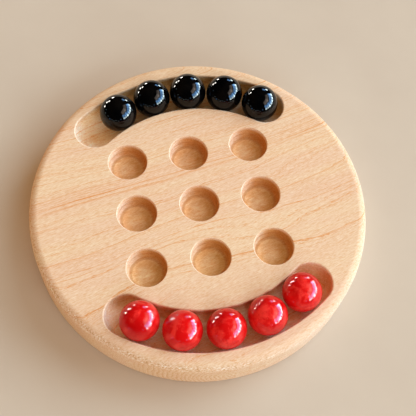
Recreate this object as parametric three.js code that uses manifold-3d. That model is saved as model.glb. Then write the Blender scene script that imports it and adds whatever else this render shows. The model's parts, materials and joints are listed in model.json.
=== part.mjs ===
// A round wooden tic-tac-toe board with nine pockets, two curved ball troughs
// and ten loose polished stone balls, five black and five red.
// Millimetres, +Z up. The origin is under the board's centre, X runs along the
// rows of pockets and +Y points to the trough of the black balls.
import * as THREE from "three";
import { mergeVertices } from "three/addons/utils/BufferGeometryUtils.js";
import Module from "manifold-3d";

// The turned board
const BOARD_DIAMETER = 193;
const BOARD_THICKNESS = 26;
const TOP_EDGE_ROUND = 5.3;
const BOTTOM_EDGE_ROUND = 2;

// The balls
const BALL_DIAMETER = 22;
const BALLS_A_SIDE = 5;
const SEAT_CLEARANCE = 0.3;

// The nine pockets
const POCKETS_A_ROW = 3;
const POCKET_PITCH_X = 36;
const POCKET_PITCH_Y = 33.2;
const POCKET_SIDE_CLEARANCE = 0.2;
const POCKET_DEPTH = 10.8;
const POCKET_CORNER_RADIUS = 2.4;
const POCKET_FLOOR_DISH = 1.2;
const POCKET_RIM_EASE = 0.5;

// The two troughs
const TROUGH_CURVE_RADIUS = 85.5;
const TROUGH_TO_BOARD_EDGE = 9;
const TROUGH_SIDE_CLEARANCE = 0.5;
const TROUGH_FREE_RUN = 21;
const TROUGH_DEPTH = 11;
const TROUGH_CORNER_RADIUS = 5;
const TROUGH_FLOOR_DISH = 1;
const TROUGH_RIM_EASE = 1;

// How the balls lie in the troughs
const TOUCHING_BALL_GAP = 0.35;
const BLACK_RIGHT_RUN = 3.2;
const RED_BALL_GAP = 1.5;

// How far each cut runs on above the face that it opens
const CUT_OVERRUN = 1;

// Facets
const BOARD_FACETS = 96;
const POCKET_FACETS = 24;
const TROUGH_SIDE_FACETS = 20;
const TROUGH_END_FACETS = 12;
const BALL_FACETS = 20;
const BALL_RINGS = 12;
const EDGE_ROUND_STEPS = 5;
const RIM_EASE_STEPS = 2;
const CORNER_STEPS = 3;
const DISH_STEPS = 2;

const MATERIALS = {
  wood: new THREE.MeshStandardMaterial({
    color: 0xdfb88a,
    roughness: 0.5,
    metalness: 0,
  }),
  blackStone: new THREE.MeshStandardMaterial({
    color: 0x08080a,
    roughness: 0.06,
    metalness: 0,
  }),
  redStone: new THREE.MeshStandardMaterial({
    color: 0xc9161b,
    roughness: 0.1,
    metalness: 0,
  }),
};

const BOARD_RADIUS = BOARD_DIAMETER / 2;
const BALL_RADIUS = BALL_DIAMETER / 2;
const QUARTER_TURN = Math.PI / 2;
const HALF_TURN = Math.PI;

const wasm = await Module();
wasm.setup();

// A closed geometry as a solid that can be cut.
function toSolid(geometry) {
  const bare = geometry.clone();
  bare.deleteAttribute("normal");
  bare.deleteAttribute("uv");
  const merged = mergeVertices(bare);
  const corners = merged.index.array;
  const triangles = [];
  for (let i = 0; i < corners.length; i += 3) {
    const [a, b, c] = corners.slice(i, i + 3);
    if (a !== b && b !== c && c !== a) triangles.push(a, b, c);
  }
  return new wasm.Manifold(
    new wasm.Mesh({
      numProp: 3,
      vertProperties: new Float32Array(merged.attributes.position.array),
      triVerts: new Uint32Array(triangles),
    }),
  );
}

// A solid as a geometry to draw.
function toGeometry(solid) {
  const mesh = solid.getMesh();
  const geometry = new THREE.BufferGeometry();
  const points = new THREE.BufferAttribute(mesh.vertProperties, mesh.numProp);
  geometry.setAttribute("position", points);
  geometry.setIndex(new THREE.BufferAttribute(mesh.triVerts, 1));
  geometry.computeVertexNormals();
  return geometry;
}

// Points of an arc about (x, y), from one angle to another.
function arcPoints(x, y, radius, from, to, steps) {
  return Array.from({ length: steps + 1 }, (_, i) => {
    const angle = from + ((to - from) * i) / steps;
    return new THREE.Vector2(
      x + radius * Math.cos(angle),
      y + radius * Math.sin(angle),
    );
  });
}

// A profile turned about the upright axis. It runs from the axis below to the
// axis above.
function turned(profile, facets) {
  return new THREE.LatheGeometry(profile, facets).rotateX(QUARTER_TURN);
}

// The blank: a disc with a full soft round on its top edge and a small one
// where it stands.
function boardBlank() {
  const top = BOARD_THICKNESS;
  return turned(
    [
      new THREE.Vector2(0, 0),
      ...arcPoints(
        BOARD_RADIUS - BOTTOM_EDGE_ROUND,
        BOTTOM_EDGE_ROUND,
        BOTTOM_EDGE_ROUND,
        -QUARTER_TURN,
        0,
        EDGE_ROUND_STEPS,
      ),
      ...arcPoints(
        BOARD_RADIUS - TOP_EDGE_ROUND,
        top - TOP_EDGE_ROUND,
        TOP_EDGE_ROUND,
        0,
        QUARTER_TURN,
        EDGE_ROUND_STEPS,
      ),
      new THREE.Vector2(0, top),
    ],
    BOARD_FACETS,
  );
}

// Half of the section that a recess has, from the middle of its floor up to
// the middle of the cut's top: dished floor, rounded corner, straight wall and
// eased rim.
function recessSection({ halfWidth, depth, corner, dish, ease }) {
  const top = BOARD_THICKNESS;
  const floor = top - depth;
  const floorEdge = halfWidth - corner;
  const section = [];
  for (let i = 0; i < DISH_STEPS; i += 1) {
    const share = i / DISH_STEPS;
    const rise = dish * share ** 2;
    section.push(new THREE.Vector2(floorEdge * share, floor + rise));
  }
  section.push(
    ...arcPoints(
      floorEdge,
      floor + dish + corner,
      corner,
      -QUARTER_TURN,
      0,
      CORNER_STEPS,
    ),
    ...arcPoints(
      halfWidth + ease,
      top - ease,
      ease,
      HALF_TURN,
      QUARTER_TURN,
      RIM_EASE_STEPS,
    ),
    new THREE.Vector2(halfWidth + ease, top + CUT_OVERRUN),
    new THREE.Vector2(0, top + CUT_OVERRUN),
  );
  return section;
}

const POCKET = {
  halfWidth: BALL_RADIUS + POCKET_SIDE_CLEARANCE,
  depth: POCKET_DEPTH,
  corner: POCKET_CORNER_RADIUS,
  dish: POCKET_FLOOR_DISH,
  ease: POCKET_RIM_EASE,
};

const TROUGH = {
  halfWidth: BALL_RADIUS + TROUGH_SIDE_CLEARANCE,
  depth: TROUGH_DEPTH,
  corner: TROUGH_CORNER_RADIUS,
  dish: TROUGH_FLOOR_DISH,
  ease: TROUGH_RIM_EASE,
};

// The angle along a trough between two neighbours with this gap between them.
function ballStep(gap) {
  const chord = BALL_DIAMETER + gap;
  return 2 * Math.asin(chord / 2 / TROUGH_CURVE_RADIUS);
}

// The centreline of a trough is an arc about a point beyond the board's
// centre, so that the trough is more open than the board's edge. It holds one
// side's balls and leaves them a free run.
const TROUGH_MIDDLE =
  BOARD_RADIUS - TROUGH_TO_BOARD_EDGE - TROUGH.ease - TROUGH.halfWidth;
const TROUGH_CENTRE_Y = TROUGH_MIDDLE - TROUGH_CURVE_RADIUS;
const TROUGH_HALF_ANGLE =
  ((BALLS_A_SIDE - 1) * ballStep(TOUCHING_BALL_GAP) +
    TROUGH_FREE_RUN / TROUGH_CURVE_RADIUS) /
  2;

// The point of the far trough's centreline at an angle from its middle,
// counted towards +X.
function centrelinePoint(angle) {
  return new THREE.Vector2(
    TROUGH_CURVE_RADIUS * Math.sin(angle),
    TROUGH_CENTRE_Y + TROUGH_CURVE_RADIUS * Math.cos(angle),
  );
}

// Stations round the far trough, each with its point on the centreline and the
// direction in which its walls lie: along the outer side, round the +X end,
// back along the inner side and round the -X end.
function troughStations() {
  const stations = [];
  const add = (angle, turn) => {
    const heading = angle + turn;
    stations.push({
      base: centrelinePoint(angle),
      out: new THREE.Vector2(Math.sin(heading), Math.cos(heading)),
    });
  };
  for (let side = 0; side < 2; side += 1) {
    const start = side ? TROUGH_HALF_ANGLE : -TROUGH_HALF_ANGLE;
    for (let i = 0; i < TROUGH_SIDE_FACETS; i += 1) {
      add(start - (2 * start * i) / TROUGH_SIDE_FACETS, side * HALF_TURN);
    }
    for (let i = 0; i < TROUGH_END_FACETS; i += 1) {
      const turn = (HALF_TURN * i) / TROUGH_END_FACETS;
      add(-start, side * HALF_TURN + turn);
    }
  }
  return stations;
}

// The far trough's cut: the section carried along the centreline and round
// both ends. The section's first and last points lie on the centreline.
function troughCut() {
  const section = recessSection(TROUGH);
  const stations = troughStations();
  const points = [];
  for (const { x: reach, y: height } of section) {
    for (const { base, out } of stations) {
      points.push(base.x + reach * out.x, base.y + reach * out.y, height);
    }
  }
  const index = [];
  const around = stations.length;
  for (let level = 0; level + 1 < section.length; level += 1) {
    for (let i = 0; i < around; i += 1) {
      const next = (i + 1) % around;
      const low = level * around;
      const high = low + around;
      index.push(low + i, high + i, low + next);
      index.push(low + next, high + i, high + next);
    }
  }
  const cut = new THREE.BufferGeometry();
  cut.setAttribute("position", new THREE.Float32BufferAttribute(points, 3));
  cut.setIndex(index);
  return cut;
}

function boardMesh() {
  let solid = toSolid(boardBlank());
  const pocket = turned(recessSection(POCKET), POCKET_FACETS);
  const middle = (POCKETS_A_ROW - 1) / 2;
  for (let row = 0; row < POCKETS_A_ROW; row += 1) {
    for (let column = 0; column < POCKETS_A_ROW; column += 1) {
      const x = (column - middle) * POCKET_PITCH_X;
      const y = (row - middle) * POCKET_PITCH_Y;
      const cut = pocket.clone().translate(x, y, 0);
      solid = solid.subtract(toSolid(cut));
    }
  }
  const farCut = troughCut();
  const nearCut = farCut.clone().rotateZ(HALF_TURN);
  solid = solid.subtract(toSolid(farCut)).subtract(toSolid(nearCut));
  const mesh = new THREE.Mesh(toGeometry(solid), MATERIALS.wood);
  mesh.name = "board";
  return mesh;
}

// One side's balls, numbered from -X to +X as seen with +Y away from the
// viewer. They lie on the floor of their trough.
function ballRow(colour, material, gap, middleAngle, isFar) {
  const row = new THREE.Group();
  const height =
    BOARD_THICKNESS - TROUGH_DEPTH + SEAT_CLEARANCE + BALL_RADIUS;
  const geometry = new THREE.SphereGeometry(
    BALL_RADIUS,
    BALL_FACETS,
    BALL_RINGS,
  ).rotateX(QUARTER_TURN);
  const side = isFar ? 1 : -1;
  for (let i = 0; i < BALLS_A_SIDE; i += 1) {
    const place = i - (BALLS_A_SIDE - 1) / 2;
    const spot = centrelinePoint(middleAngle + place * ballStep(gap));
    const ball = new THREE.Mesh(geometry, material);
    ball.name = `${colour}_ball_${i + 1}`;
    ball.position.set(spot.x, side * spot.y, height);
    row.add(ball);
  }
  return row;
}

// The black balls have rolled together near the +X end of their trough, and
// the red ones lie a little apart in the middle of theirs.
const BLACK_MIDDLE_ANGLE =
  TROUGH_HALF_ANGLE -
  BLACK_RIGHT_RUN / TROUGH_CURVE_RADIUS -
  ((BALLS_A_SIDE - 1) * ballStep(TOUCHING_BALL_GAP)) / 2;

const ticTacToeBoard = new THREE.Group();
ticTacToeBoard.name = "tic_tac_toe_board";
ticTacToeBoard.add(
  boardMesh(),
  ballRow(
    "black",
    MATERIALS.blackStone,
    TOUCHING_BALL_GAP,
    BLACK_MIDDLE_ANGLE,
    true,
  ),
  ballRow("red", MATERIALS.redStone, RED_BALL_GAP, 0, false),
);

export default ticTacToeBoard;
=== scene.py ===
# The look of a round wooden tic-tac-toe board with ten polished stone balls.
# Metres, +Z up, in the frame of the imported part. The fine meshes follow the
# same sizes as the solids, and every material is procedural.
import json
import math
import random
from typing import NamedTuple

import bmesh
import bpy
from mathutils import Matrix, Vector, noise
from mathutils.geometry import delaunay_2d_cdt


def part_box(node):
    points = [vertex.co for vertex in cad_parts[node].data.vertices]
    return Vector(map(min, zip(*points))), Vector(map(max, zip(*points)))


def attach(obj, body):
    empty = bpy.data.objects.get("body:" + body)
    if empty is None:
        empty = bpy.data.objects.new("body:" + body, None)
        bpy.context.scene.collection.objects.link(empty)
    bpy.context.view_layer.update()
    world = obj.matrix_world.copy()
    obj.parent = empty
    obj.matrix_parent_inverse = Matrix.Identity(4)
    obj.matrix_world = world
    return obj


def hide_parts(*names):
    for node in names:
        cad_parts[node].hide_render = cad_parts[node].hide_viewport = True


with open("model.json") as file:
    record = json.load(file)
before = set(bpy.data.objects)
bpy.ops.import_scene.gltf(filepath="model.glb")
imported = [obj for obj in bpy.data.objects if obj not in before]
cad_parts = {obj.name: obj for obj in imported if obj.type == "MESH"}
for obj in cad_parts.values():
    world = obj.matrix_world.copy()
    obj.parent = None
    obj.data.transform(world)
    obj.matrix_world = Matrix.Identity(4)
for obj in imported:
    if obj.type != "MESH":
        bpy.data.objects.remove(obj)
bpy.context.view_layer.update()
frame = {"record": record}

MM = 0.001

# Sizes that the frame's boxes don't give, as on the solids
TOP_EDGE_ROUND = 5.3 * MM
BOTTOM_EDGE_ROUND = 2.0 * MM
POCKET_SIDE_CLEARANCE = 0.2 * MM
POCKET_PITCH_X = 36.0 * MM
POCKET_PITCH_Y = 33.2 * MM
POCKET_DEPTH = 10.8 * MM
POCKET_CORNER_RADIUS = 2.4 * MM
POCKET_FLOOR_DISH = 1.2 * MM
POCKET_RIM_EASE = 0.5 * MM
TROUGH_CURVE_RADIUS = 85.5 * MM
TROUGH_TO_BOARD_EDGE = 9.0 * MM
TROUGH_SIDE_CLEARANCE = 0.5 * MM
TROUGH_FREE_RUN = 21.0 * MM
TROUGH_DEPTH = 11.0 * MM
TROUGH_CORNER_RADIUS = 5.0 * MM
TROUGH_FLOOR_DISH = 1.0 * MM
TROUGH_RIM_EASE = 1.0 * MM
TOUCHING_BALL_GAP = 0.35 * MM
BALLS_A_SIDE = 5

# Sizes from the frame
BOARD_LOW, BOARD_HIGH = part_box("board")
BOARD_RADIUS = (BOARD_HIGH.x - BOARD_LOW.x) / 2
BOARD_TOP = BOARD_HIGH.z
BALL_LOW, BALL_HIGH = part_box("black_ball_1")
BALL_RADIUS = (BALL_HIGH.z - BALL_LOW.z) / 2

# Sizes that follow from those above
POCKET_RADIUS = BALL_RADIUS + POCKET_SIDE_CLEARANCE
TROUGH_HALF_WIDTH = BALL_RADIUS + TROUGH_SIDE_CLEARANCE
TROUGH_MIDDLE = (
    BOARD_RADIUS - TROUGH_TO_BOARD_EDGE - TROUGH_RIM_EASE - TROUGH_HALF_WIDTH
)
TROUGH_CENTRE_Y = TROUGH_MIDDLE - TROUGH_CURVE_RADIUS
TROUGH_BALL_STEP = 2 * math.asin(
    (2 * BALL_RADIUS + TOUCHING_BALL_GAP) / 2 / TROUGH_CURVE_RADIUS
)
TROUGH_HALF_ANGLE = (
    (BALLS_A_SIDE - 1) * TROUGH_BALL_STEP + TROUGH_FREE_RUN / TROUGH_CURVE_RADIUS
) / 2

# The camera, from the outlines in the photograph. The target is a point of the
# board's top face.
PHOTO_PIXELS = 416
SENSOR_WIDTH = 36.0
FOCAL_PIXELS = 802.7
CAMERA_AZIMUTH = math.radians(-18.116)
CAMERA_ELEVATION = math.radians(64.743)
CAMERA_ROLL = math.radians(7.414)
CAMERA_DISTANCE = 0.45647
CAMERA_TARGET = Vector((0.00420, -0.00375, BOARD_TOP))
CAMERA_CLIP_START = 0.01

# Fineness of the meshes
BOARD_FACETS = 288
EDGE_STEPS = 14
POCKET_FACETS = 96
TROUGH_SIDE_FACETS = 96
TROUGH_END_FACETS = 32
RIM_STEPS = 6
CORNER_STEPS = 12
DISH_STEPS = 6
BALL_SUBDIVISIONS = 6

# Up to what distance points, edges and heights count as one and the same
SAME_POINT = 0.002 * MM
NO_LENGTH = 0.001 * MM
SAME_HEIGHT = 0.001 * MM

# What the triangles of the face fill: everything inside the loops, with what
# lies in the rims taken out afterwards. Places there are in millimetres.
INSIDE_LOOPS = 1
SAME_PLACE = 1e-6

# How far a hand-polished ball strays from a true sphere, and over what length
BALL_WAVE = 0.012 * MM
BALL_WAVE_LENGTH = 7.0 * MM


# Geometry


def arc(centre, radius, start, end, steps):
    """Points of an arc about a centre, from one angle to another, in degrees."""
    points = []
    for i in range(steps + 1):
        angle = math.radians(start + (end - start) * i / steps)
        x = centre[0] + radius * math.cos(angle)
        y = centre[1] + radius * math.sin(angle)
        points.append((x, y))
    return points


def circle(centre, radius, height, count):
    """Points of a level circle, without the first one again at the end."""
    points = []
    for i in range(count):
        angle = 2 * math.pi * i / count
        x = centre[0] + radius * math.cos(angle)
        y = centre[1] + radius * math.sin(angle)
        points.append((x, y, height))
    return points


def recess_section(half_width, depth, corner, dish, ease):
    """Half a recess's section as (reach, height), from its floor to its rim."""
    floor = BOARD_TOP - depth
    floor_edge = half_width - corner
    section = []
    for i in range(DISH_STEPS):
        share = i / DISH_STEPS
        section.append((floor_edge * share, floor + dish * share**2))
    corner_centre = (floor_edge, floor + dish + corner)
    section += arc(corner_centre, corner, -90, 0, CORNER_STEPS)
    rim_centre = (half_width + ease, BOARD_TOP - ease)
    section += arc(rim_centre, ease, 180, 90, RIM_STEPS)
    return section


def add_piece(name, data, material, smooth=True):
    """An object of the scene, from its mesh and its material."""
    data.polygons.foreach_set("use_smooth", [smooth] * len(data.polygons))
    data.materials.append(material)
    piece = bpy.data.objects.new(name, data)
    bpy.context.scene.collection.objects.link(piece)
    return piece


class Shell:
    """Vertices and faces of one piece while it is put together."""

    def __init__(self):
        self.points = []
        self.faces = []

    def ring(self, points):
        """Adds points and gives back their numbers."""
        first = len(self.points)
        self.points += [Vector(p) for p in points]
        return list(range(first, len(self.points)))

    def stack(self, rings):
        """Bands of faces between rings that follow each other."""
        for low, high in zip(rings, rings[1:]):
            for i in range(len(low)):
                j = (i + 1) % len(low)
                self.faces.append((low[i], low[j], high[j], high[i]))

    def mesh(self, name, material, smooth=True):
        """The piece, with points that coincide made one."""
        data = bpy.data.meshes.new(name)
        data.from_pydata(self.points, [], self.faces)
        work = bmesh.new()
        work.from_mesh(data)
        bmesh.ops.remove_doubles(work, verts=work.verts, dist=SAME_POINT)
        bmesh.ops.dissolve_degenerate(work, edges=work.edges, dist=NO_LENGTH)
        bmesh.ops.recalc_face_normals(work, faces=work.faces)
        work.to_mesh(data)
        work.free()
        return add_piece(name, data, material, smooth)


def turn_outside(shell):
    """The turned outside with its underside. Gives the edge of the flat face."""
    bottom = (BOARD_RADIUS - BOTTOM_EDGE_ROUND, BOTTOM_EDGE_ROUND)
    top = (BOARD_RADIUS - TOP_EDGE_ROUND, BOARD_TOP - TOP_EDGE_ROUND)
    profile = arc(bottom, BOTTOM_EDGE_ROUND, -90, 0, EDGE_STEPS)
    profile += arc(top, TOP_EDGE_ROUND, 0, 90, EDGE_STEPS)
    rings = [
        shell.ring(circle((0, 0), radius, height, BOARD_FACETS))
        for radius, height in profile
    ]
    shell.stack(rings)
    shell.faces.append(tuple(rings[0]))
    return rings[-1]


def pocket_centres():
    """Middles of the nine pockets, from the boxes of the frame's record."""
    centres = []
    for opening in frame["record"]["physics"]["openings"]:
        if opening["name"].startswith("pocket_"):
            low, high = (Vector(corner) for corner in opening["box_m"])
            centres.append(((low + high) / 2).to_2d())
    return centres


def mill_pocket(shell, centre):
    """One pocket, milled round its centre. Gives the edge of its rim."""
    section = recess_section(
        POCKET_RADIUS,
        POCKET_DEPTH,
        POCKET_CORNER_RADIUS,
        POCKET_FLOOR_DISH,
        POCKET_RIM_EASE,
    )
    rings = [
        shell.ring(circle(centre, reach, height, POCKET_FACETS))
        for reach, height in section
    ]
    shell.stack(rings)
    return rings[-1]


def trough_stations():
    """Centreline points and outward directions once round the far trough."""
    stations = []

    def add(angle, turn):
        x = TROUGH_CURVE_RADIUS * math.sin(angle)
        y = TROUGH_CENTRE_Y + TROUGH_CURVE_RADIUS * math.cos(angle)
        heading = angle + turn
        outward = Vector((math.sin(heading), math.cos(heading)))
        stations.append((Vector((x, y)), outward))

    for side in (0, 1):
        start = TROUGH_HALF_ANGLE if side else -TROUGH_HALF_ANGLE
        for i in range(TROUGH_SIDE_FACETS):
            add(start - 2 * start * i / TROUGH_SIDE_FACETS, side * math.pi)
        for i in range(TROUGH_END_FACETS):
            add(-start, (side + i / TROUGH_END_FACETS) * math.pi)
    return stations


def mill_trough(shell, side):
    """The far trough, or with -1 the near one. Gives the edge of its rim."""
    section = recess_section(
        TROUGH_HALF_WIDTH,
        TROUGH_DEPTH,
        TROUGH_CORNER_RADIUS,
        TROUGH_FLOOR_DISH,
        TROUGH_RIM_EASE,
    )
    stations = trough_stations()
    rings = []
    for reach, height in section:
        around = [side * (base + reach * out) for base, out in stations]
        rings.append(shell.ring([(p.x, p.y, height) for p in around]))
    shell.stack(rings)
    return rings[-1]


def inside(point, loop):
    """Whether a point lies in a closed loop, by crossings of a ray."""
    within = False
    for a, b in zip(loop, loop[1:] + loop[:1]):
        if (a.y > point.y) != (b.y > point.y):
            reach = a.x + (point.y - a.y) / (b.y - a.y) * (b.x - a.x)
            if point.x < reach:
                within = not within
    return within


def fill_face(shell, loops):
    """Triangles between the outer loop of the top face and the rims in it."""
    flat = [i for loop in loops for i in loop]
    spots = [shell.points[i].to_2d() / MM for i in flat]
    edges = []
    holes = []
    first = 0
    for loop in loops:
        count = len(loop)
        edges += [(first + i, first + (i + 1) % count) for i in range(count)]
        holes.append(spots[first : first + count])
        first += count
    found = delaunay_2d_cdt(spots, edges, [], INSIDE_LOOPS, SAME_PLACE)
    places, faces, sources = found[0], found[2], found[3]
    for face in faces:
        middle = sum((places[i] for i in face), Vector((0, 0))) / len(face)
        if not any(inside(middle, hole) for hole in holes[1:]):
            shell.faces.append(tuple(flat[sources[i][0]] for i in face))


def flatten_normals(data):
    """Keeps the flat face and the underside flat up to their edges."""
    normals = [v.vector.copy() for v in data.vertex_normals]
    for vertex, normal in zip(data.vertices, normals):
        if abs(vertex.co.z - BOARD_TOP) < SAME_HEIGHT:
            normal[:] = (0, 0, 1)
        elif abs(vertex.co.z) < SAME_HEIGHT:
            normal[:] = (0, 0, -1)
    data.normals_split_custom_set_from_vertices(normals)


def build_board(material):
    """The whole board: turned outside, flat face, nine pockets, two troughs."""
    shell = Shell()
    loops = [turn_outside(shell)]
    loops += [mill_pocket(shell, centre) for centre in pocket_centres()]
    loops += [mill_trough(shell, side) for side in (1, -1)]
    fill_face(shell, loops)
    board = shell.mesh("board_wood", material)
    flatten_normals(board.data)
    return board


def build_ball(node, material):
    """A fine ball with the faint waves of hand polishing."""
    low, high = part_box(node)
    centre = (low + high) / 2
    work = bmesh.new()
    bmesh.ops.create_icosphere(work, subdivisions=BALL_SUBDIVISIONS, radius=BALL_RADIUS)
    for vertex in work.verts:
        wave = noise.noise((vertex.co + centre) / BALL_WAVE_LENGTH) * BALL_WAVE
        vertex.co = centre + vertex.co * (1 + (wave - BALL_WAVE) / BALL_RADIUS)
    data = bpy.data.meshes.new(node + "_stone")
    work.to_mesh(data)
    work.free()
    return add_piece(node + "_stone", data, material)


# Materials


def colour(red, green, blue):
    return (red, green, blue, 1.0)


class Pattern(NamedTuple):
    """A noise pattern: its waves a millimetre, where it starts, and its make.

    Its edge is the stretch of its values over which what it stands for sets in.
    """

    fineness: tuple
    shift: tuple = (0.0, 0.0, 0.0)
    detail: float = 3.0
    roughness: float = 0.5
    distortion: float = 0.0
    edge: tuple = (0.3, 0.7)


class Way(NamedTuple):
    """A level direction, and between which values of facing it a look sets in.

    Those values are 1 straight toward it, 0 across it and -1 away from it.
    """

    direction: tuple
    edge: tuple


class Graph:
    """Shader nodes of one material, added and linked from code."""

    def __init__(self, name):
        self.material = bpy.data.materials.new(name)
        self.material.use_nodes = True
        self.tree = self.material.node_tree
        self.shader = self.tree.nodes["Principled BSDF"]
        place = self.put("ShaderNodeTexCoord").outputs
        self.normal = place["Normal"]
        # Where a point lies on the piece, in millimetres
        self.spot = self.vector("SCALE", place["Object"], scale=1 / MM)

    def put(self, kind, settings=None, **inputs):
        """A node, with its settings and with what goes into its sockets."""
        node = self.tree.nodes.new(kind)
        for key, value in (settings or {}).items():
            setattr(node, key, value)
        for key, value in inputs.items():
            self.feed(node.inputs[key.replace("_", " ")], value)
        return node

    def feed(self, socket, value):
        """Links a socket to where its value comes from, or sets it."""
        if isinstance(value, bpy.types.NodeSocket):
            self.tree.links.new(value, socket)
        else:
            socket.default_value = value

    def set(self, name, value):
        """Feeds a socket of the material's shader."""
        self.feed(self.shader.inputs[name], value)

    def vector(self, operation, a, b=None, scale=None):
        """What comes of an operation on vectors."""
        node = self.put("ShaderNodeVectorMath", {"operation": operation})
        self.feed(node.inputs[0], a)
        if b is not None:
            self.feed(node.inputs[1], b)
        if scale is not None:
            self.feed(node.inputs["Scale"], scale)
        kind = "Value" if operation in ("DOT_PRODUCT", "LENGTH") else "Vector"
        return node.outputs[kind]

    def math(self, operation, a, b=0.0, c=0.0):
        """What comes of an operation on numbers."""
        node = self.put("ShaderNodeMath", {"operation": operation})
        for socket, value in zip(node.inputs, (a, b, c)):
            self.feed(socket, value)
        return node.outputs[0]

    def plus(self, first, *others):
        for other in others:
            first = self.math("ADD", first, other)
        return first

    def times(self, first, *others):
        for other in others:
            first = self.math("MULTIPLY", first, other)
        return first

    def split(self, vector):
        """The three coordinates of a vector."""
        return list(self.put("ShaderNodeSeparateXYZ", Vector=vector).outputs)

    def join(self, x, y, z=0.0):
        return self.put("ShaderNodeCombineXYZ", X=x, Y=y, Z=z).outputs[0]

    def distance(self, a, b):
        """The long side over two legs."""
        squares = self.plus(self.math("POWER", a, 2.0), self.math("POWER", b, 2.0))
        return self.math("SQRT", squares)

    def turned(self, spot, turn):
        """A place turned about the axes, in degrees."""
        angles = [math.radians(angle) for angle in turn]
        return self.put("ShaderNodeMapping", Vector=spot, Rotation=angles).outputs[0]

    def noise(self, spot, pattern):
        """A noise pattern at a place, from 0 to 1 and mostly near the middle."""
        moved = self.vector("ADD", spot, pattern.shift)
        return self.put(
            "ShaderNodeTexNoise",
            Vector=self.vector("MULTIPLY", moved, pattern.fineness),
            Scale=1.0,
            Detail=pattern.detail,
            Roughness=pattern.roughness,
            Distortion=pattern.distortion,
        ).outputs["Fac"]

    def patches(self, spot, pattern):
        """Where a noise pattern is strong, with soft edges."""
        return self.span(self.noise(spot, pattern), *pattern.edge, smooth=True)

    def shades(self, spot, pattern, low=0.0, high=1.0):
        """A noise pattern spread from low to high over its edge."""
        return self.span(self.noise(spot, pattern), *pattern.edge, low, high)

    def span(self, value, low, high, to_low=0.0, to_high=1.0, smooth=False):
        """A value's stretch from low to high, spread from to_low to to_high."""
        kind = "SMOOTHSTEP" if smooth else "LINEAR"
        node = self.put("ShaderNodeMapRange", {"interpolation_type": kind, "clamp": True})
        for socket, given in zip(node.inputs, (value, low, high, to_low, to_high)):
            self.feed(socket, given)
        return node.outputs[0]

    def mix(self, share, a, b, blend="MIX"):
        """Colour a, with a share of colour b mixed in or multiplied on."""
        node = self.put("ShaderNodeMix", {"data_type": "RGBA", "blend_type": blend})
        self.feed(node.inputs["Factor"], share)
        self.feed(node.inputs["A"], a)
        self.feed(node.inputs["B"], b)
        return node.outputs["Result"]

    def bump(self, height, strength, depth):
        """Relief that the shader shows, as deep as this at full strength."""
        node = self.put("ShaderNodeBump", Strength=strength, Distance=depth, Height=height)
        self.set("Normal", node.outputs[0])


# The wood of the board. Lengths in its material are in millimetres.

CREAM = colour(0.85, 0.60, 0.385)
PEACH = colour(0.835, 0.558, 0.37)
LATE_WOOD = colour(0.75, 0.30, 0.08)
FLECK = colour(0.80, 0.42, 0.18)
FRAYED_LIGHT = colour(0.98, 0.86, 0.74)
FRAYED_DARK = colour(0.56, 0.29, 0.11)
ARC_LINE = colour(0.72, 0.36, 0.13)
# Painted highlight on the rims of the cuts, and painted shade in the pockets' creases
RIM_PAINTED_HIGHLIGHT = colour(1.0, 0.80, 0.62)
CREASE_SHADE = colour(0.50, 0.19, 0.05)

# Tints, which multiply the colour that is there
# Painted light on the outer round, most on its right, which faces the light
ROUND_PAINTED_LIGHT = colour(1.05, 1.06, 1.07)
ROUND_PAINTED_LIGHT_RIGHT = colour(1.03, 1.15, 1.30)
# Painted light and shade in the troughs: lighter on walls facing the light, darker away from
# it
TROUGH_PAINTED_LIGHT = colour(1.18, 1.44, 1.85)
TROUGH_PAINTED_HALF_SHADE = colour(1.17, 1.28, 1.40)
TROUGH_PAINTED_SHADE_NEAR = colour(0.99, 0.90, 0.75)
TROUGH_PAINTED_SHADE_FAR = colour(1.14, 1.05, 0.70)
# Painted light and shade on the pockets' walls and floors
POCKET_WALL_PAINTED_LIGHT = colour(1.09, 1.16, 1.26)
POCKET_WALL_PAINTED_HALF_SHADE = colour(0.83, 0.62, 0.375)
POCKET_WALL_PAINTED_SHADE = colour(0.66, 0.42, 0.19)
POCKET_FLOOR_PAINTED_LIGHT = colour(1.08, 1.035, 0.87)
POCKET_FLOOR_PAINTED_SHADE = colour(0.80, 0.78, 0.61)
POCKET_FLOOR_MIDDLE_PAINTED_LIGHT = colour(1.11, 1.25, 1.28)
# A tint for scorched patches on the cut wood
SCORCH_TINT = colour(1.0, 0.80, 0.52)

# How the growth rings and the fibre are turned against the board, in degrees
GRAIN_TURN = (0, 2, -9)
FIBRE_TURN = (0, 0, -17)

# What grew along the rings and the fibre, first along them and then across
BANDS = Pattern((0.008, 0.05, 0.05), shift=(5, 40, 9), edge=(0.36, 0.64))
SWAY = Pattern((0.006, 0.020, 0.020), detail=1.0)
RIPPLE = Pattern((0.022, 0.10, 0.10), detail=2.0)
FEATHER = Pattern((0.10, 1.0, 1.0), roughness=0.6)
ALONG_LINES = Pattern((0.03, 0.12, 0.12), shift=(31, 7, 3), edge=(0.33, 0.52))
FIBRE = Pattern((0.13, 1.6, 1.6), detail=4.0, roughness=0.68)
HAIR = Pattern((0.34, 2.0, 2.0), roughness=0.7, edge=(0.32, 0.68))
FLECKS = Pattern((0.2, 1.0, 1.0), shift=(90, 50, 20), detail=2.0, edge=(0.60, 0.74))

# What turning and milling brought out
END_GRAIN = Pattern((1.2, 1.6, 1.6), roughness=0.7, edge=(0.34, 0.66))
FRAY = Pattern((0.9, 1.3, 1.3), shift=(3, 8, 1), detail=2.0)
SCORCHES = Pattern((0.10, 0.16, 0.16), shift=(12, 3, 5), edge=(0.44, 0.66))
SCRAPES = Pattern((0.22, 0.5, 0.9), shift=(2, 33, 8), edge=(0.36, 0.64))

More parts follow.
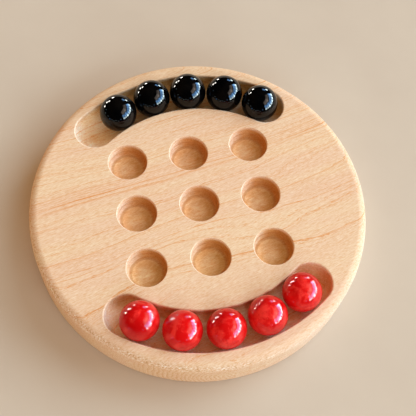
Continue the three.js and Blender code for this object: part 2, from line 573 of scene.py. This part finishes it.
# How strongly some of it shows: the end grain's dots in the cuts against those on
# the wall, growth lines in pockets against those on the face, and shares of paint
DOTS_IN_CUTS = 0.5
LINES_IN_POCKETS = 0.4
FLECK_STRENGTH = 0.30
FRAYED_LIGHT_STRENGTH = 0.75
FRAYED_DARK_STRENGTH = 0.65
ARC_STRENGTH = 0.48
SCORCH_STRENGTH = 0.3
# How strong the painted highlight on the rims is
RIM_HIGHLIGHT_STRENGTH = 0.8

# How far the tone goes down and up: fibre and hair multiply it by these, dots by
# one plus theirs, and what scrapes do is added
FIBRE_TONES = (0.90, 1.08)
HAIR_TONES = (0.83, 1.16)
DOT_TONES = (-0.23, 0.17)
SCRAPE_TONES = (-0.07, 0.07)

# How far the tone moves red, green and blue, as it does in pale wood
TONE_SPAN = (0.7, 1.3)
TONE_REACHES = (0.13, 0.33, 0.54)

# The rings' pith lies under the front of the board. Their distance from it sways,
# ripples and is feathered by so much, and each ring ends in a line at a share of
# its width.
PITH_Y = -70.0
PITH_Z = -84.0
RING_SWAY = 26.0
RING_RIPPLE = 2.8
RING_FEATHER = 0.75
RING_WIDTH = 2.6
RING_LINE = 0.94

# Rings are unevenly wide, by so many rings, over this many turns a millimetre
RING_SPREAD = 3.0
RING_SPREAD_FINENESS = 0.13

# Across a ring a line sets in and drops off, in ring widths from its place, and a
# soft shade leads up to it
LINE_SETS_IN = (-0.12, -0.01)
LINE_DROPS = (0.01, 0.06)
SHADE_START = 0.3
SHADE_POWER = 3.0
SHADE_STRENGTH = 0.14

# The slope of the rings over a short length. Where they run level with the face,
# lines get narrower and fainter, down to these shares.
RING_LOOK = 0.4
NARROW_SLOPES = (0.1, 0.8)
NARROWEST = 0.3
FAINT_SLOPES = (0.04, 0.16)
FAINTEST = 0.3

# Which draw of faint and strong lines the board has, how far it leans to faint
# ones, and how faint a line and a stretch of it may be
RING_DRAW = 43.0
DRAW_POWER = 1.2
FAINTEST_LINE = 0.55
FAINTEST_STRETCH = 0.45

# The arcs where the rings come out at the front: their middle, their pitch, how
# drawn out they are on the right, how they ripple, between which shares of the
# pitch a line rises and drops, and between which places the arcs come in from the
# left, go out on the right, end toward the back and end toward the face
ARCS_X = 3.0
ARCS_Z = 12.0
ARC_PITCH = 2.3
ARC_STRETCH = 4.0
ARC_HEIGHT_SHARE = 1.1
ARC_RIPPLE = 5.0
ARC_RISES = (0.3, 0.9)
ARC_DROPS = (0.9, 1.0)
ARCS_LEFT = (-66.0, -40.0)
ARCS_RIGHT = (20.0, 50.0)
ARCS_BACK = (-84.0, -78.0)
ARCS_FACING_UP = (0.1, 0.5)

# How far a surface faces up where end grain fades out, where the frayed strip
# starts and ends, and where the painted light on the outer round ends
GRAIN_FACING_UP = (0.15, 0.92)
FRAY_STARTS = (0.16, 0.5)
FRAY_ENDS = (0.82, 0.99)
ROUND_LIGHT_FACING_UP = (0.3, 0.8)

# Between which values of its pattern a frayed end is light, and dark
FRAY_LIGHT_EDGE = (0.55, 0.64)
FRAY_DARK_EDGE = (0.36, 0.45)

# The ways that a surface faces where it is frayed, where the outer round has painted
# light, where the troughs have painted shade and where the rims have a painted highlight
FRAYED_WAY = Way((-0.71, -0.71, 0.0), edge=(0.25, 0.62))
LIT_SIDE_WAY = Way((0.92, -0.39, 0.0), edge=(0.1, 0.8))
SHADED_WAY = Way((-0.7, -0.7, 0.0), edge=(-0.65, 0.35))
RIM_HIGHLIGHT_WAY = Way((0.8, 0.5, 0.0), edge=(-0.1, 0.35))

# The ways in which the painted shade on a pocket's wall and floor gets darker, and
# between which values
WALL_WAY = (0.94, 0.34, 0.0)
WALL_FIRST_HALF = (-0.2, 0.34)
WALL_SECOND_HALF = (0.34, 0.77)
FLOOR_WAY = (0.93, -0.37, 0.0)
FLOOR_ACROSS = (-6.0, 6.0)

# Where the top round starts, and how far out the pockets reach
ROUND_START = (BOARD_RADIUS - TOP_EDGE_ROUND) / MM
POCKETS_REACH = (
    math.hypot(POCKET_PITCH_X, POCKET_PITCH_Y) + POCKET_RADIUS + POCKET_RIM_EASE
) / MM

# Over which reaches from the board's middle the outer round sets in, the flat part
# ends and the pockets end, and between which Y near goes over into far
OUTER_EDGE = (ROUND_START - 0.6, ROUND_START + 0.4)
INNER_EDGE = (ROUND_START - 1.0, ROUND_START - 0.2)
POCKETS_EDGE = (POCKETS_REACH + 0.5, POCKETS_REACH + 1.1)
FAR_EDGE = (-1.0, 1.0)

# Depths under the face: between which cut wood gets its full painted light and shade,
# and between which a rim's painted highlight starts and ends
CUT_DEPTHS = (0.5, 3.5)
RIM_TOP = (0.0, 0.06)
RIM_BOTTOM = (0.4, 0.7)

# Reaches from a pocket's middle: between which the painted light in its middle goes over
# into the floor's painted light and shade, and the floor's into the wall's. A smaller
# reach than the last counts as that one.
FLOOR_MIDDLE_EDGE = (1.0, 6.0)
FLOOR_EDGE = (8.6, 10.6)
SMALLEST_REACH = 0.1

# Share of the way from a trough's wall with the most painted light to the one with
# the most painted shade where its floor is
TROUGH_FLOOR_SHARE = 0.65

# Painted shade in lines on a pocket's wall, where it rounds into its floor: depth below
# the face, half width and strength, and the share of the half width that has the full
# strength
CREASE_SHADE_LINES = ((7.1, 0.45, 0.46), (9.5, 0.30, 0.42))
CREASE_SHADE_CORE = 0.3

# Roughness from fibre to fibre, what a cut adds to it, and gloss
FIBRE_GLOSS_EDGE = (0.25, 0.75)
WOOD_ROUGHNESS = (0.60, 0.70)
CUT_ROUGHNESS = 0.15
WOOD_SPECULAR = 0.05
WOOD_IOR = 1.48

# Relief: what fibre, hair, growth lines and frayed ends add to its height
FIBRE_RELIEF = 0.7
HAIR_RELIEF = 0.3
LINE_RELIEF = -0.3
FRAY_RELIEF = 2.0
WOOD_RELIEF_STRENGTH = 0.25
WOOD_RELIEF_DEPTH = 0.06 * MM


class Hardwood(Graph):
    """Light hardwood as it was grown, turned and milled, with painted light and shade.

    Its methods paint on the base colour one after the other, or change the
    tone, which makes the finished colour lighter or darker.
    """

    def __init__(self):
        super().__init__("light_hardwood")
        self.x, self.y, self.z = self.split(self.spot)
        self.facing_up = self.split(self.normal)[2]
        self.grain = self.turned(self.spot, GRAIN_TURN)
        self.find_regions()

    def find_regions(self):
        """Shares of 0 to 1: outer round, flat part, cut wood, among the pockets."""
        inboard = self.vector("LENGTH", self.join(self.x, self.y))
        self.below = self.math("SUBTRACT", BOARD_TOP / MM, self.z)
        self.outer = self.span(inboard, *OUTER_EDGE)
        self.inner = self.fade(inboard, *INNER_EDGE)
        self.among_pockets = self.fade(inboard, *POCKETS_EDGE)
        self.cut = self.times(self.span(self.below, *CUT_DEPTHS, smooth=True), self.inner)

    def fade(self, value, low, high, smooth=False):
        """1 below a stretch and 0 above it."""
        return self.span(value, low, high, 1.0, 0.0, smooth)

    def facing(self, way):
        """How far the surface faces a way, from 0 to 1 over the way's edge."""
        return self.span(self.vector("DOT_PRODUCT", self.normal, way.direction), *way.edge)

    def paint(self, share, layer, strength=1.0):
        """Lays a colour over the base."""
        self.base = self.mix(self.times(share, strength), self.base, layer)

    def tint(self, share, layer, strength=1.0):
        """Multiplies the base by a colour."""
        self.paint(share, self.mix(1.0, self.base, layer, blend="MULTIPLY"), strength)

    def lay_bands(self):
        """Broad bands of cream and peach."""
        self.base = self.mix(self.patches(self.grain, BANDS), CREAM, PEACH)

    def ring_reach(self, at):
        """Distance from the pith, with its sway and ripple, and the ripple alone."""
        sway = self.noise(at, SWAY)
        ripple = self.noise(at, RIPPLE)
        y, z = self.split(at)[1:]
        reach = self.distance(self.plus(y, -PITH_Y), self.plus(z, -PITH_Z))
        reach = self.plus(reach, self.times(sway, RING_SWAY), self.times(ripple, RING_RIPPLE))
        return reach, ripple

    def ring_strength(self, rings):
        """How strong each ring's line is, and where it fades along the grain."""
        draw = self.put(
            "ShaderNodeTexWhiteNoise",
            {"noise_dimensions": "1D"},
            W=self.plus(self.math("FLOOR", rings), RING_DRAW),
        ).outputs["Value"]
        lot = self.span(self.math("POWER", draw, DRAW_POWER), 0.0, 1.0, FAINTEST_LINE, 1.0)
        return self.times(lot, self.shades(self.grain, ALONG_LINES, FAINTEST_STRETCH, 1.0))

    def number_rings(self, reach):
        """The number of rings from the pith, which are unevenly wide."""
        feather = self.noise(self.grain, FEATHER)
        reach = self.plus(reach, self.times(feather, RING_FEATHER))
        spread = self.put(
            "ShaderNodeTexNoise",
            {"noise_dimensions": "1D"},
            W=self.times(reach, RING_SPREAD_FINENESS),
        ).outputs["Fac"]
        spread = self.times(spread, RING_SPREAD)
        return self.plus(self.math("DIVIDE", reach, RING_WIDTH), spread)

    def grow_rings(self):
        """Growth lines round the pith, thin and of even width, with a soft side."""
        reach, self.ripple = self.ring_reach(self.grain)
        ahead = self.vector("ADD", self.grain, (0.0, RING_LOOK, 0.0))
        rise = self.math("SUBTRACT", self.ring_reach(ahead)[0], reach)
        slope = self.math("DIVIDE", self.math("ABSOLUTE", rise), RING_LOOK)
        narrow = self.span(slope, *NARROW_SLOPES, NARROWEST, 1.0)
        clear = self.span(slope, *FAINT_SLOPES, FAINTEST, 1.0)

        rings = self.number_rings(reach)
        within = self.math("FRACT", rings)
        past = self.math("DIVIDE", self.plus(within, -RING_LINE), narrow)
        thin = self.span(past, *LINE_SETS_IN, smooth=True)
        soft = self.math("POWER", self.span(within, SHADE_START, RING_LINE), SHADE_POWER)
        drop = self.fade(past, *LINE_DROPS, smooth=True)
        line = self.times(self.plus(thin, self.times(soft, SHADE_STRENGTH)), clear, drop)
        self.line = self.times(line, self.ring_strength(rings))
        in_pocket = self.times(self.cut, self.among_pockets)
        kept = self.span(in_pocket, 0.0, 1.0, 1.0, LINES_IN_POCKETS)
        self.paint(self.times(self.line, kept), LATE_WOOD)

    def lay_fibre(self):
        """Fine fibre, a little askew to the rings, and short flecks."""
        way = self.turned(self.spot, FIBRE_TURN)
        self.fibre = self.noise(way, FIBRE)
        self.hair = self.noise(way, HAIR)
        self.tone = self.times(
            self.span(self.fibre, *FIBRE.edge, *FIBRE_TONES),
            self.span(self.hair, *HAIR.edge, *HAIR_TONES),
        )
        self.paint(self.patches(way, FLECKS), FLECK, FLECK_STRENGTH)

    def show_end_grain(self):
        """Dots where the surface turns away from the face, and fainter ones in cuts."""
        upright = self.fade(self.math("ABSOLUTE", self.facing_up), *GRAIN_FACING_UP)
        upright = self.math("MAXIMUM", upright, self.times(self.cut, DOTS_IN_CUTS))
        dots = self.shades(self.spot, END_GRAIN, *DOT_TONES)
        self.tone = self.times(self.tone, self.plus(self.times(dots, upright), 1.0))

    def fray_edge(self):
        """Frayed fibre ends, light and dark, on the front left of the outer round."""
        fray = self.noise(self.spot, FRAY)
        at = self.times(
            self.span(self.facing_up, *FRAY_STARTS, smooth=True),
            self.fade(self.facing_up, *FRAY_ENDS, smooth=True),
            self.outer,
            self.facing(FRAYED_WAY),
        )
        light = self.times(self.span(fray, *FRAY_LIGHT_EDGE), at)
        dark = self.times(self.fade(fray, *FRAY_DARK_EDGE), at)
        self.paint(light, FRAYED_LIGHT, FRAYED_LIGHT_STRENGTH)
        self.paint(dark, FRAYED_DARK, FRAYED_DARK_STRENGTH)
        self.frayed = self.times(fray, at)

    def paint_round_light(self):
        """Painted light: the outer round is a little paler, most on its right, toward the
        light.
        """
        tint = self.mix(self.facing(LIT_SIDE_WAY), ROUND_PAINTED_LIGHT, ROUND_PAINTED_LIGHT_RIGHT)
        self.tint(self.times(self.outer, self.fade(self.facing_up, *ROUND_LIGHT_FACING_UP)), tint)

    def draw_front_arcs(self):
        """Nested arcs where the rings come out at the front, long on the right."""
        aside = self.plus(self.x, -ARCS_X)
        right = self.times(aside, 1 / ARC_STRETCH)
        aside = self.math("MAXIMUM", right, self.times(aside, -1.0))
        aloft = self.times(self.plus(self.z, -ARCS_Z), ARC_HEIGHT_SHARE)
        reach = self.plus(self.distance(aside, aloft), self.times(self.ripple, ARC_RIPPLE))
        within = self.math("FRACT", self.math("DIVIDE", reach, ARC_PITCH))
        line = self.times(self.span(within, *ARC_RISES), self.fade(within, *ARC_DROPS))
        at = self.times(
            self.fade(self.y, *ARCS_BACK),
            self.outer,
            self.fade(self.facing_up, *ARCS_FACING_UP),
            self.span(self.x, *ARCS_LEFT),
            self.fade(self.x, *ARCS_RIGHT),
        )
        self.paint(self.times(line, at), ARC_LINE, ARC_STRENGTH)

    def trough_light_and_shade(self):
        """Painted light and shade in a trough, by the way that its surface faces the light."""
        away_from_light = self.facing(SHADED_WAY)
        bright = self.span(away_from_light, 0.0, TROUGH_FLOOR_SHARE)
        tint = self.mix(bright, TROUGH_PAINTED_LIGHT, TROUGH_PAINTED_HALF_SHADE)
        far = self.span(self.y, *FAR_EDGE)
        dim = self.mix(far, TROUGH_PAINTED_SHADE_NEAR, TROUGH_PAINTED_SHADE_FAR)
        return self.mix(self.span(away_from_light, TROUGH_FLOOR_SHARE, 1.0), tint, dim)

    def pocket_light_and_shade(self):
        """Painted light and shade in a pocket, by the place on its wall and across its floor.
        """
        half_x, half_y = POCKET_PITCH_X / MM / 2, POCKET_PITCH_Y / MM / 2
        off = self.join(
            self.math("WRAP", self.x, half_x, -half_x),
            self.math("WRAP", self.y, half_y, -half_y),
        )
        reach = self.vector("LENGTH", off)
        turned = self.vector("DOT_PRODUCT", off, WALL_WAY)
        turned = self.math("DIVIDE", turned, self.math("MAXIMUM", reach, SMALLEST_REACH))
        first = self.span(turned, *WALL_FIRST_HALF)
        second = self.span(turned, *WALL_SECOND_HALF)
        wall = self.mix(first, POCKET_WALL_PAINTED_LIGHT, POCKET_WALL_PAINTED_HALF_SHADE)
        wall = self.mix(second, wall, POCKET_WALL_PAINTED_SHADE)
        across = self.span(self.vector("DOT_PRODUCT", off, FLOOR_WAY), *FLOOR_ACROSS)
        floor = self.mix(across, POCKET_FLOOR_PAINTED_LIGHT, POCKET_FLOOR_PAINTED_SHADE)
        floor = self.mix(self.span(reach, *FLOOR_MIDDLE_EDGE), POCKET_FLOOR_MIDDLE_PAINTED_LIGHT, floor)
        return self.mix(self.span(reach, *FLOOR_EDGE, smooth=True), floor, wall)

    def paint_light_and_shade_in_cuts(self):
        """Painted light and shade in the cuts: lighter where light falls, darker and redder
        where shade falls.
        """
        tint = self.mix(self.among_pockets, self.trough_light_and_shade(), self.pocket_light_and_shade())
        self.tint(self.cut, tint)

    def mark_cuts(self):
        """Scorched and scraped patches on the cut wood."""
        scorch = self.patches(self.grain, SCORCHES)
        self.tint(self.times(scorch, self.cut), SCORCH_TINT, SCORCH_STRENGTH)
        scrape = self.shades(self.grain, SCRAPES, *SCRAPE_TONES)
        self.tone = self.plus(self.tone, self.times(scrape, self.cut))

    def paint_rim_highlights(self):
        """A painted highlight on the rims of the cuts, pale on their left and front, toward
        the light.
        """
        rim = self.times(
            self.span(self.below, *RIM_TOP), self.fade(self.below, *RIM_BOTTOM), self.inner
        )
        self.paint(self.times(rim, self.facing(RIM_HIGHLIGHT_WAY)), RIM_PAINTED_HIGHLIGHT, RIM_HIGHLIGHT_STRENGTH)

    def shade_pocket_creases(self):
        """Painted shade: two dark lines where each pocket's wall rounds into its floor."""
        marks = []
        for depth, width, strength in CREASE_SHADE_LINES:
            off = self.math("ABSOLUTE", self.math("SUBTRACT", self.below, depth))
            core = width * CREASE_SHADE_CORE
            marks.append(self.span(off, core, width, strength, 0.0, smooth=True))
        self.paint(self.times(self.math("MAXIMUM", *marks), self.among_pockets), CREASE_SHADE)

    def finish(self):
        """Base colour, gloss and relief."""
        shade = self.join(
            *(self.span(self.tone, *TONE_SPAN, 1 - reach, 1 + reach) for reach in TONE_REACHES)
        )
        self.set("Base Color", self.mix(1.0, self.base, shade, blend="MULTIPLY"))
        matt = self.span(self.fibre, *FIBRE_GLOSS_EDGE, *WOOD_ROUGHNESS)
        self.set("Roughness", self.plus(matt, self.times(self.cut, CUT_ROUGHNESS)))
        self.set("Specular IOR Level", WOOD_SPECULAR)
        self.set("IOR", WOOD_IOR)
        height = self.plus(
            self.times(self.fibre, FIBRE_RELIEF),
            self.times(self.hair, HAIR_RELIEF),
            self.times(self.line, LINE_RELIEF),
            self.times(self.frayed, FRAY_RELIEF),
        )
        self.bump(height, WOOD_RELIEF_STRENGTH, WOOD_RELIEF_DEPTH)


def hardwood():
    """The board's material, painted in order."""
    wood = Hardwood()
    wood.lay_bands()
    wood.grow_rings()
    wood.lay_fibre()
    wood.show_end_grain()
    wood.fray_edge()
    wood.paint_round_light()
    wood.draw_front_arcs()
    wood.paint_light_and_shade_in_cuts()
    wood.mark_cuts()
    wood.paint_rim_highlights()
    wood.shade_pocket_creases()
    wood.finish()
    return wood.material


# The stones of the balls

BLACK = colour(0.0008, 0.0008, 0.001)
BLACK_CLOUD = colour(0.0035, 0.0026, 0.0022)
RED = colour(0.73, 0.007, 0.007)
RED_LIGHT_CLOUD = colour(0.97, 0.048, 0.038)
RED_DARK_CLOUD = colour(0.50, 0.002, 0.003)
RED_SPECK = colour(0.9, 0.16, 0.1)
# Painted shade toward the stone's edges, where it sets in and how strong it is
RED_EDGE_SHADE = colour(0.46, 0.002, 0.002)
RED_DARK_STRENGTH = 0.7
RED_SPECK_STRENGTH = 0.25
RED_EDGE_SHADE_FACING = (0.1, 0.7)
RED_EDGE_SHADE_STRENGTH = 0.55

BLACK_CLOUDS = Pattern((0.12, 0.12, 0.12), detail=4.0, roughness=0.6, edge=(0.35, 0.72))
BLACK_HAZE = Pattern((0.5, 0.5, 0.5), detail=2.0)
BLACK_GRIT = Pattern((1.4, 1.4, 1.4), detail=2.0)
RED_CLOUDS = Pattern(
    (0.15, 0.15, 0.15), detail=5.0, roughness=0.62, distortion=0.5, edge=(0.42, 0.62)
)
RED_PATCHES = Pattern((0.055, 0.055, 0.055), shift=(4, 9, 2), detail=2.0, edge=(0.5, 0.68))
RED_SPECKS = Pattern((0.9, 0.9, 0.9), detail=2.0, edge=(0.64, 0.78))
RED_HAZE = Pattern((0.4, 0.4, 0.4), detail=2.0)
RED_GRIT = Pattern((1.1, 1.1, 1.1), detail=2.0)

# Polish, relief and the light that the red stone scatters under its surface
BLACK_ROUGHNESS = (0.01, 0.03)
BLACK_IOR = 1.345
RED_ROUGHNESS = (0.012, 0.03)
RED_IOR = 1.37
POLISH_RELIEF_STRENGTH = 0.03
POLISH_RELIEF_DEPTH = 0.05 * MM
RED_SCATTERING = 0.25
RED_SCATTERING_COLOURS = (1.0, 0.12, 0.08)
RED_SCATTERING_REACH = 2.0 * MM


def black_stone():
    """Polished black stone, with faint brown clouds in its depth."""
    stone = Graph("black_stone")
    clouds = stone.patches(stone.spot, BLACK_CLOUDS)
    stone.set("Base Color", stone.mix(clouds, BLACK, BLACK_CLOUD))
    stone.set("Roughness", stone.shades(stone.spot, BLACK_HAZE, *BLACK_ROUGHNESS))
    stone.set("IOR", BLACK_IOR)
    grit = stone.noise(stone.spot, BLACK_GRIT)
    stone.bump(grit, POLISH_RELIEF_STRENGTH, POLISH_RELIEF_DEPTH)
    return stone.material


def red_stone():
    """Polished red stone with lighter and darker clouds, fine specks and painted shade toward
    its edges.
    """
    stone = Graph("red_stone")
    light = stone.patches(stone.spot, RED_CLOUDS)
    dark = stone.patches(stone.spot, RED_PATCHES)
    speck = stone.patches(stone.spot, RED_SPECKS)
    # Painted shade: darker toward the edges of the stone as the camera sees them
    facing = stone.put("ShaderNodeLayerWeight", Blend=0.5).outputs["Facing"]
    edge = stone.span(facing, *RED_EDGE_SHADE_FACING, 0.0, RED_EDGE_SHADE_STRENGTH)
    base = stone.mix(light, RED, RED_LIGHT_CLOUD)
    base = stone.mix(stone.times(dark, RED_DARK_STRENGTH), base, RED_DARK_CLOUD)
    base = stone.mix(stone.times(speck, RED_SPECK_STRENGTH), base, RED_SPECK)
    base = stone.mix(edge, base, RED_EDGE_SHADE)
    stone.set("Base Color", base)
    stone.set("Roughness", stone.shades(stone.spot, RED_HAZE, *RED_ROUGHNESS))
    stone.set("IOR", RED_IOR)
    stone.set("Subsurface Weight", RED_SCATTERING)
    stone.set("Subsurface Radius", RED_SCATTERING_COLOURS)
    stone.set("Subsurface Scale", RED_SCATTERING_REACH)
    grit = stone.noise(stone.spot, RED_GRIT)
    stone.bump(grit, POLISH_RELIEF_STRENGTH, POLISH_RELIEF_DEPTH)
    return stone.material


# The floor

FLOOR_REACH = 4.0
FLOOR_GAP = 0.05 * MM
FLOOR_DARK = colour(0.60, 0.49, 0.385)
FLOOR_LIGHT = colour(0.63, 0.52, 0.41)
FLOOR_CLOUDS = Pattern((0.02, 0.02, 0.02), detail=4.0)
FLOOR_ROUGHNESS = 0.9
FLOOR_SPECULAR = 0.05


def floor_paint():
    """Plain pale floor, with the slight unevenness of a matte surface."""
    paint = Graph("pale_floor")
    shade = paint.shades(paint.spot, FLOOR_CLOUDS)
    paint.set("Base Color", paint.mix(shade, FLOOR_DARK, FLOOR_LIGHT))
    paint.set("Roughness", FLOOR_ROUGHNESS)
    paint.set("Specular IOR Level", FLOOR_SPECULAR)
    return paint.material


def lay_floor():
    """A square floor just under the board."""
    shell = Shell()
    corners = ((-1, -1), (1, -1), (1, 1), (-1, 1))
    corners = [(x * FLOOR_REACH, y * FLOOR_REACH, 0) for x, y in corners]
    shell.faces.append(tuple(shell.ring(corners)))
    floor = shell.mesh("floor", floor_paint(), smooth=False)
    floor.location.z = -FLOOR_GAP


# Light

WHITE = (0.82, 0.98, 1.0)
PALE = (0.58, 0.82, 1.0)
SKY = (0.24, 0.53, 1.0)
DAY = (0.61, 0.825, 1.0)
PANEL = (1.0, 0.84, 0.74)
LAMPLIGHT = (1.0, 0.94, 0.86)

# The long window that the polish reflects. A row of panes has its low and high
# elevation in degrees, its radiance and its tint, and the left panes stand higher.
PANE_DISTANCE = 1.6
PANE_WIDTH = 11.0
WINDOW_AZIMUTHS = (26, 12, -2, -16, -32, -46, -60)
WINDOW_ROWS = (
    (8.0, 13.2, 48.0, WHITE),
    (13.7, 19.2, 36.0, PALE),
    (19.9, 27.2, 29.0, SKY),
    (27.9, 36.0, 19.0, SKY),
)
LEFT_PANES_RISE = 2.5
LEFT_PANES_FROM = -20
PANE_SHADING = (0.45, 1.25)
PANE_SHADING_SEED = 11

# What else it reflects: a far window, a wall panel and glints. Each has its azimuth,
# its width, its low and high elevation in degrees, its radiance and its tint.
REFLECTIONS = [
    (52, 8.0, 7.0, 15.0, 28.0, WHITE),
    (60, 12.0, 15.5, 27.0, 9.0, SKY),
    (-36, 36.0, 42.0, 52.0, 4.0, PANEL),
    (-34, 34.0, 52.0, 62.0, 2.6, PANEL),
    (2, 40.0, 42.0, 52.0, 3.0, PANEL),
    (0, 36.0, 52.0, 60.0, 1.6, PANEL),
    (-151, 7.0, 2.0, 8.0, 4.5, SKY),
    (-83, 6.0, 14.0, 20.0, 4.5, SKY),
    (-98, 5.0, 5.0, 8.0, 4.5, WHITE),
    (-112, 9.0, 9.0, 11.5, 3.0, WHITE),
    (-124, 4.0, 3.0, 7.0, 5.0, WHITE),
    (-137, 8.0, 7.0, 9.0, 3.5, WHITE),
    (-166, 5.0, 10.0, 13.0, 4.0, WHITE),
    (172, 7.0, 5.0, 7.5, 3.5, WHITE),
    (160, 4.0, 14.0, 18.0, 4.0, PALE),
]

# Four small lamps across the room, by azimuth and elevation in degrees
FAR_LAMPS = ((99, 4.0), (125, 5.0), (119, 14.0), (142, 3.0))
FAR_LAMP_DISTANCE = 2.4
FAR_LAMP_SIZE = (0.27, 0.27)
FAR_LAMP_RADIANCE = 52.0

# Soft daylight: name, azimuth and elevation in degrees, size and radiance
SOFT_LIGHT_DISTANCE = 5.0
SOFT_LIGHTS = (
    ("key", 20, 46, (2.5, 2.5), 3.6),
    ("side_light", 6, 26, (6.4, 2.35), 6.9),
    ("front_light", -74, 28, (3.75, 2.5), 4.7),
)

# Warm light from all round, and the pale wall that the camera sees past the floor
ROOM_LIGHT = colour(1.0, 0.65, 0.33)
ROOM_STRENGTH = 0.52
WALL = colour(0.80, 0.74, 0.66)


def toward(azimuth, elevation, distance):
    """A place seen from the board in a direction, given in degrees."""
    turn, rise = math.radians(azimuth), math.radians(elevation)
    flat = distance * math.cos(rise)
    return Vector(
        (flat * math.cos(turn), flat * math.sin(turn), distance * math.sin(rise))
    )


def lamp(name, centre, size, radiance, tint, in_polish):
    """A rectangular light that looks at the board with even radiance.

    It either shows in the polish or lights what is matt, not both.
    """
    data = bpy.data.lights.new(name, "AREA")
    data.shape = "RECTANGLE"
    data.size, data.size_y = size
    data.energy = radiance * math.pi * size[0] * size[1]
    data.color = tint
    piece = bpy.data.objects.new(name, data)
    piece.location = centre
    piece.rotation_euler = (-centre).to_track_quat("-Z", "Y").to_euler()
    piece.visible_camera = False
    piece.visible_diffuse = not in_polish
    piece.visible_glossy = in_polish
    bpy.context.scene.collection.objects.link(piece)


def window_panes():
    """The long window's panes, some shaded more than others by what is outside."""
    shading = random.Random(PANE_SHADING_SEED)
    panes = []
    for azimuth in WINDOW_AZIMUTHS:
        rise = LEFT_PANES_RISE if azimuth < LEFT_PANES_FROM else 0.0
        for low, high, radiance, tint in WINDOW_ROWS:
            shaded = radiance * shading.uniform(*PANE_SHADING)
            panes.append((azimuth, PANE_WIDTH, low + rise, high + rise, shaded, tint))
    return panes


def light_polish():
    """What the polish reflects: panes, panels and the far lamps."""
    panes = window_panes() + REFLECTIONS
    for i, (azimuth, width, low, high, radiance, tint) in enumerate(panes):
        middle = toward(azimuth, (low + high) / 2, PANE_DISTANCE)
        size = [
            2 * PANE_DISTANCE * math.tan(math.radians(angle / 2))
            for angle in (width, high - low)
        ]
        lamp(f"pane_{i + 1}", middle, size, radiance, tint, in_polish=True)
    for i, (azimuth, elevation) in enumerate(FAR_LAMPS):
        middle = toward(azimuth, elevation, FAR_LAMP_DISTANCE)
        name = f"far_lamp_{i + 1}"
        lamp(name, middle, FAR_LAMP_SIZE, FAR_LAMP_RADIANCE, LAMPLIGHT, in_polish=True)


def light_matt():
    """The soft daylight on everything that isn't polish."""
    for name, azimuth, elevation, size, radiance in SOFT_LIGHTS:
        middle = toward(azimuth, elevation, SOFT_LIGHT_DISTANCE)
        lamp(name, middle, size, radiance, DAY, in_polish=False)


def lay_world():
    """Warm light from all round, and a pale wall where the floor ends."""
    world = bpy.data.worlds.new("studio")
    world.use_nodes = True
    tree = world.node_tree
    warm = tree.nodes["Background"]
    warm.inputs["Color"].default_value = ROOM_LIGHT
    warm.inputs["Strength"].default_value = ROOM_STRENGTH
    wall = tree.nodes.new("ShaderNodeBackground")
    wall.inputs["Color"].default_value = WALL
    seen = tree.nodes.new("ShaderNodeLightPath")
    choice = tree.nodes.new("ShaderNodeMixShader")
    tree.links.new(seen.outputs["Is Camera Ray"], choice.inputs["Fac"])
    tree.links.new(warm.outputs[0], choice.inputs[1])
    tree.links.new(wall.outputs[0], choice.inputs[2])
    tree.links.new(choice.outputs[0], tree.nodes["World Output"].inputs["Surface"])
    world.cycles_visibility.glossy = False
    bpy.context.scene.world = world


# The camera


def place_camera():
    """The camera that took the photograph, from its fitted angles."""
    data = bpy.data.cameras.new("camera")
    data.sensor_fit = "HORIZONTAL"
    data.sensor_width = SENSOR_WIDTH
    data.lens = FOCAL_PIXELS / PHOTO_PIXELS * SENSOR_WIDTH
    data.clip_start = CAMERA_CLIP_START
    level = math.cos(CAMERA_ELEVATION)
    back = Vector(
        (
            math.sin(CAMERA_AZIMUTH) * level,
            -math.cos(CAMERA_AZIMUTH) * level,
            math.sin(CAMERA_ELEVATION),
        )
    )
    right = Vector((0, 0, 1)).cross(back).normalized()
    upward = back.cross(right)
    cosine, sine = math.cos(CAMERA_ROLL), math.sin(CAMERA_ROLL)
    across = cosine * right + sine * upward
    rise = cosine * upward - sine * right
    place = Matrix.Translation(CAMERA_TARGET + CAMERA_DISTANCE * back)
    camera = bpy.data.objects.new("camera", data)
    camera.matrix_world = place @ Matrix((across, rise, back)).transposed().to_4x4()
    bpy.context.scene.collection.objects.link(camera)
    bpy.context.scene.camera = camera


# Putting it together

board = build_board(hardwood())
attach(board, "board")
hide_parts("board")

STONES = {"black": black_stone(), "red": red_stone()}
for side, stone in STONES.items():
    for number in range(1, BALLS_A_SIDE + 1):
        node = f"{side}_ball_{number}"
        ball = build_ball(node, stone)
        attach(ball, node)
        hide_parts(node)

lay_floor()
light_polish()
light_matt()
lay_world()
place_camera()

scene = bpy.context.scene
scene.view_settings.view_transform = "Standard"
scene.view_settings.look = "None"
